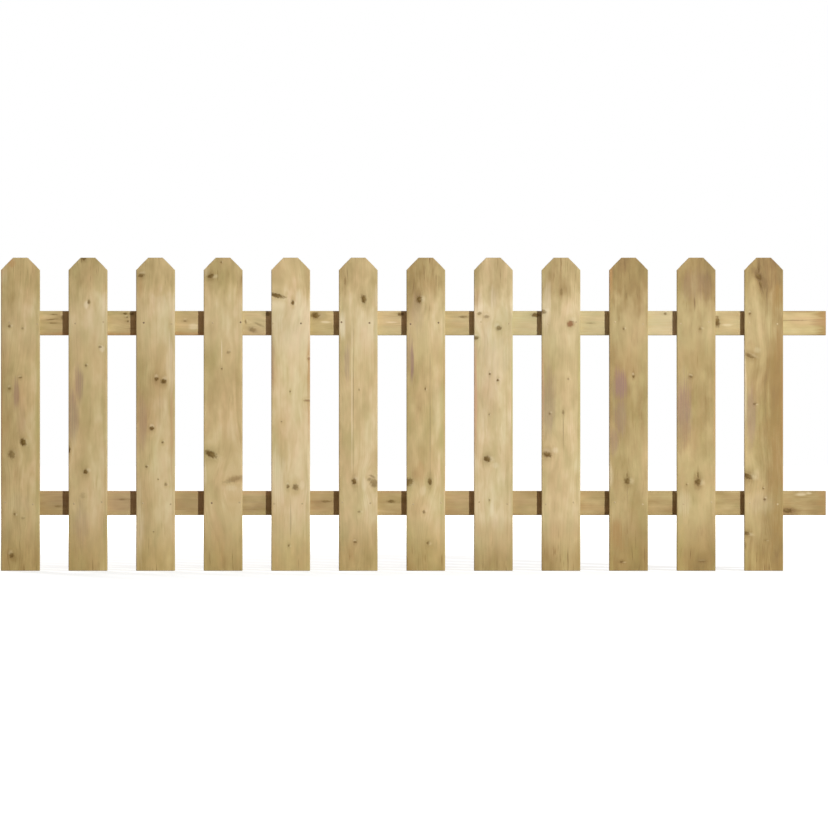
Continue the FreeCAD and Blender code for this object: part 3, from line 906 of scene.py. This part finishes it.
def make_rings(board, flat, seed, wavy_back):
    """Outlines from the foot to the head, slightly uneven, with the rims of both ends worn.

    The face that bears on other boards is flat. The other one waves: the back where wavy_back is true.
    """
    columns = face_columns(board.half, flat)

    def top(across):
        return board.length - max(0.0, abs(across) - flat) if flat else board.length

    def rounding(corner, share):
        noise_across = WEAR_PER_SEED * seed + WEAR_PER_CORNER * corner
        wear = noise.noise(Vector((noise_across, 0.0, share * board.length / EDGE_WEAR_LENGTH)))
        return EDGE_RADIUS + EDGE_UNEVEN * wear

    def ring(share, inset, lift):
        radii = [rounding(corner, share) for corner in range(4)]
        points = []
        for across, depth in section(board, columns, radii):
            along = share * top(across)
            at_back = depth > 0.5 * board.thick
            inward = -1.0 if at_back else 1.0
            if at_back == wavy_back:
                wave = noise.noise(Vector((across / WAVE_ACROSS, WAVE_PER_SEED * seed, along / WAVE_ALONG)))
                depth += inward * FACE_WAVE * abs(wave)
            if depth < NEAR_EDGE or depth > board.thick - NEAR_EDGE:
                depth += inward * inset
            if abs(across) > board.half - NEAR_EDGE:
                across -= math.copysign(inset, across)
            points.append((across, depth, along + lift))
        return points

    shares = even_steps(0.0, 1.0, ROW_SPACING / board.length)
    rings = [ring(0.0, WORN_END, 0.0), ring(0.0, 0.0, WORN_END)]
    rings += [ring(share, 0.0, 0.0) for share in shares[1:-1]]
    return rings + [ring(1.0, 0.0, -WORN_END), ring(1.0, WORN_END, 0.0)]


def close_end(mesh, row, face_count):
    """Fill an end of the board with a grid between its front and its back."""
    curve = ARRIS_STEPS + 1
    inner = DEPTH_STEPS - 1
    spans = [face_count, curve, inner, curve, face_count, curve, inner, curve]
    parts = []
    start = 0
    for span in spans:
        parts.append(row[start:start + span])
        start += span
    front, right_front, right_side, right_back, back, left_back, left_side, left_front = parts
    fronts = right_front[::-1] + front[::-1] + left_front[::-1]
    backs = right_back + back + left_back
    lines = []
    for ahead, behind in zip(fronts, backs):
        if ahead is fronts[0]:
            inside = right_side
        elif ahead is fronts[-1]:
            inside = left_side[::-1]
        else:
            inside = [mesh.verts.new(point) for point in between(ahead.co, behind.co)]
        lines.append([ahead, *inside, behind])
    for first, second in zip(lines, lines[1:]):
        for step in range(DEPTH_STEPS):
            mesh.faces.new((first[step], first[step + 1], second[step + 1], second[step]))


def add_object(name, mesh, material):
    """An object from a mesh in the making, smooth but for its corners, that rides on the panel."""
    bmesh.ops.recalc_face_normals(mesh, faces=mesh.faces)
    data = bpy.data.meshes.new(name)
    mesh.to_mesh(data)
    mesh.free()
    data.polygons.foreach_set("use_smooth", [True] * len(data.polygons))
    data.set_sharp_from_angle(angle=SHARP_ANGLE)
    data.materials.append(material)
    piece = bpy.data.objects.new(name, data)
    bpy.context.scene.collection.objects.link(piece)
    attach(piece, "root")
    return piece


def dress_board(board, looks, seed, ear_cut=0.0, wavy_back=False):
    flat = board.half - ear_cut if ear_cut else 0.0
    rings = make_rings(board, flat, seed, wavy_back)
    mesh = bmesh.new()
    rows = [[mesh.verts.new(board.place(*point)) for point in points] for points in rings]
    count = len(rows[0])
    for lower, upper in zip(rows, rows[1:]):
        for index in range(count):
            after = (index + 1) % count
            mesh.faces.new((lower[index], lower[after], upper[after], upper[index]))
    for row in (rows[0], rows[-1]):
        close_end(mesh, row, len(face_columns(board.half, flat)))
    piece = add_object(f"{board.node}_board", mesh, make_wood(board, looks, seed))
    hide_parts(board.node)


def dress_boards():
    for seed, node in enumerate(PICKETS, start=1):
        board = Board(node, upright=True)
        dress_board(board, PICKET_LOOKS[node], float(seed), ear_cut=EAR_CUT)
    for seed, node in enumerate(RAILS, start=FIRST_RAIL_SEED):
        board = Board(node, upright=False)
        dress_board(board, RAIL_LOOKS[node], float(seed), wavy_back=True)


# Nails: two at every crossing, in millimetres

NAIL_APART = 62.0
NAIL_RADIUS = 2.1
NAIL_STAND = 0.3
NAIL_SHANK = 1.1
NAIL_DEEP = 6.0
NAIL_SIDES = 14

# Radius and depth from the picket's face: a flat round head, its rim slightly domed, on a shank
NAIL_PROFILE = [
    (0.0, -NAIL_STAND),
    (0.55 * NAIL_RADIUS, -0.95 * NAIL_STAND),
    (0.9 * NAIL_RADIUS, -0.7 * NAIL_STAND),
    (NAIL_RADIUS, -0.2 * NAIL_STAND),
    (NAIL_RADIUS, 0.3),
    (NAIL_SHANK, 0.9),
    (NAIL_SHANK, NAIL_DEEP - 1.5),
    (0.0, NAIL_DEEP),
]

# Nails with darkened heads, by picket: -1 the left one, 1 the right one. The others are pale.
DARK_NAILS = {
    "top_rail": {3: (-1,), 4: (1,), 5: (1,), 6: (-1, 1), 7: (-1, 1)},
    "bottom_rail": {4: (-1,)},
}

# Pairs that sit off the middle of their picket, by its number: shift to the right, mm
NAIL_SHIFTS = {
    "top_rail": {1: 7.0, 2: 3.5, 3: 5.0, 4: 8.0, 5: -8.0, 6: -6.0, 8: 4.0},
    "bottom_rail": {4: 6.0, 5: -5.0, 6: -4.0},
}

# The other pairs' shifts, and how far nails are off the rail's middle, mm. Both swing from nail to nail.
NAIL_SHIFT = 3.0
SHIFT_PER_PICKET = 4.7
SHIFT_PER_METRE = 9.0
NAIL_DRIFT = 2.5
DRIFT_PER_PICKET = 9.1
DRIFT_PER_SIDE = 2.0

# Grime on the heads: cycles per metre, and from where to where, with its least and most share
GRIME_SCALE = (700.0, 700.0, 700.0)
GRIME_FADE = (0.0, 0.25, 0.0, 0.6)
NAIL_ROUGHNESS = 0.6
ROUGH_WITH_GRIME = 0.4
NAIL_METALLIC = 0.15


def add_nail(mesh, centre, age):
    worn = mesh.verts.layers.float["age"]
    rings = []
    for radius, depth in NAIL_PROFILE:
        ring = []
        for side in range(NAIL_SIDES if radius else 1):
            angle = 2.0 * math.pi * side / NAIL_SIDES
            offset = Vector((radius * math.cos(angle), depth, radius * math.sin(angle)))
            ring.append(mesh.verts.new(centre + MM * offset))
            ring[-1][worn] = age
        rings.append(ring)
    for first, second in zip(rings, rings[1:]):
        for side in range(NAIL_SIDES):
            after = (side + 1) % NAIL_SIDES
            corners = [first[side % len(first)], first[after % len(first)]]
            corners += [second[after % len(second)], second[side % len(second)]]
            mesh.faces.new(list(dict.fromkeys(corners)))


def make_nail_metal():
    material = bpy.data.materials.new("nail_metal")
    material.use_nodes = True
    g = Graph(material.node_tree)
    shader = material.node_tree.nodes["Principled BSDF"].inputs
    place = g.add("ShaderNodeTexCoord").outputs["Object"]
    grime = g.swing(g.scaled(place, GRIME_SCALE))
    age = g.add("ShaderNodeAttribute", attribute_name="age").outputs["Fac"]
    tint = g.mix(age, *NAIL_TINTS)
    g.feed(shader["Base Color"], g.mix(g.ease(grime, *GRIME_FADE), tint, NAIL_GRIME))
    g.feed(shader["Roughness"], g.math("MULTIPLY_ADD", grime, ROUGH_WITH_GRIME, NAIL_ROUGHNESS))
    g.feed(shader["Metallic"], NAIL_METALLIC)
    return material


def make_nails():
    mesh = bmesh.new()
    mesh.verts.layers.float.new("age")
    for rail in RAILS:
        rail_low, rail_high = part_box(rail)
        height = 0.5 * (rail_low[2] + rail_high[2])
        for number, node in enumerate(PICKETS, start=1):
            low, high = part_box(node)
            middle = 0.5 * (low[0] + high[0])
            usual = NAIL_SHIFT * math.sin(SHIFT_PER_PICKET * number + SHIFT_PER_METRE * height)
            shift = NAIL_SHIFTS[rail].get(number, usual)
            for side in (-1, 1):
                across = shift + side * 0.5 * NAIL_APART
                drift = NAIL_DRIFT * math.sin(DRIFT_PER_PICKET * number + DRIFT_PER_SIDE * side)
                age = 1.0 if side in DARK_NAILS[rail].get(number, ()) else 0.0
                add_nail(mesh, Vector((middle + across * MM, low[1], height + drift * MM)), age)
    add_object("nails", mesh, make_nail_metal())


# Stage: floor, light and camera, in metres

FLOOR_SIZE = 60.0
FLOOR_CLEARANCE = 0.5 * MM
FLOOR_SEEN = (0.60, 0.60, 0.60, 1.0)
FLOOR_BOUNCE = (0.42, 0.34, 0.31, 1.0)
FLOOR_NEAR_GLOW = (0.60, 0.632, 0.64, 1.0)
FLOOR_FAR_GLOW = (0.97, 0.98, 0.985, 1.0)
FLOOR_NEAR = 3.0
FLOOR_FAR = 10.0
SKY_SEEN = (1.0, 1.0, 1.0, 1.0)
SKY_FILL = (0.19, 0.125, 0.112, 1.0)
KEY_PLACE = Vector((3.15, -4.7, 2.1))
KEY_RADIUS = 0.11
KEY_WATTS = 1360.0
KEY_COLOUR = (0.97, 1.0, 1.0)
BACK_PLACE = Vector((-3.4, 6.5, 3.2))
BACK_RADIUS = 0.8
BACK_WATTS = 1800.0
BACK_COLOUR = (1.0, 0.97, 0.92)
VIEW_WIDTH = 1.8375
VIEW_CENTRE = (-0.0152, 0.198)
VIEW_DISTANCE = 15.0
CLIP_END = 200.0

# Millimetres
SENSOR = 36.0


def seen_directly(g):
    """1 for what the camera sees, straight or in a mirror or through glass."""
    path = g.add("ShaderNodeLightPath").outputs
    mirrored = g.math("MAXIMUM", path["Is Glossy Ray"], path["Is Transmission Ray"])
    return g.math("MAXIMUM", path["Is Camera Ray"], mirrored)


def make_floor():
    """A white floor that shows the panel's shadow, and gets no darker far from the lamps."""
    data = bpy.data.meshes.new("floor")
    half = 0.5 * FLOOR_SIZE
    height = cad_low[2] - FLOOR_CLEARANCE
    corners = [(-half, -half, height), (half, -half, height), (half, half, height), (-half, half, height)]
    data.from_pydata(corners, [], [(0, 1, 2, 3)])
    floor = bpy.data.objects.new("floor", data)
    bpy.context.scene.collection.objects.link(floor)
    material = bpy.data.materials.new("floor_white")
    material.use_nodes = True
    tree = material.node_tree
    tree.nodes.clear()
    g = Graph(tree)
    seen = seen_directly(g)
    matt = g.add("ShaderNodeBsdfDiffuse", {"Color": g.mix(seen, FLOOR_BOUNCE, FLOOR_SEEN)}).outputs[0]
    distance = g.length(g.add("ShaderNodeNewGeometry").outputs["Position"])
    tint = g.mix(g.ease(distance, FLOOR_NEAR, FLOOR_FAR), FLOOR_NEAR_GLOW, FLOOR_FAR_GLOW)
    glow = g.add("ShaderNodeEmission", {"Color": tint, "Strength": seen}).outputs[0]
    surface = g.add("ShaderNodeAddShader", {0: matt, 1: glow}).outputs[0]
    g.add("ShaderNodeOutputMaterial", {"Surface": surface})
    data.materials.append(material)


def make_world():
    world = bpy.data.worlds.new("studio")
    bpy.context.scene.world = world
    world.use_nodes = True
    tree = world.node_tree
    tree.nodes.clear()
    g = Graph(tree)
    tint = g.mix(seen_directly(g), SKY_FILL, SKY_SEEN)
    sky = g.add("ShaderNodeBackground", {"Color": tint, "Strength": 1.0}).outputs[0]
    g.add("ShaderNodeOutputWorld", {"Surface": sky})


def make_lamp(name, place, radius, watts, colour):
    data = bpy.data.lights.new(name, "POINT")
    data.shadow_soft_size = radius
    data.energy = watts
    data.color = colour
    lamp = bpy.data.objects.new(name, data)
    lamp.location = place
    bpy.context.scene.collection.objects.link(lamp)


def make_camera():
    lens = bpy.data.cameras.new("camera")
    lens.sensor_width = SENSOR
    lens.lens = SENSOR * VIEW_DISTANCE / VIEW_WIDTH
    lens.clip_end = CLIP_END
    camera = bpy.data.objects.new("camera", lens)
    camera.location = (VIEW_CENTRE[0], cad_low[1] - VIEW_DISTANCE, VIEW_CENTRE[1])
    camera.rotation_euler = (math.radians(90.0), 0.0, 0.0)
    bpy.context.scene.collection.objects.link(camera)
    bpy.context.scene.camera = camera


dress_boards()
make_nails()
make_floor()
make_world()
make_lamp("key", KEY_PLACE, KEY_RADIUS, KEY_WATTS, KEY_COLOUR)
make_lamp("back", BACK_PLACE, BACK_RADIUS, BACK_WATTS, BACK_COLOUR)
make_camera()
bpy.context.scene.view_settings.view_transform = "Standard"
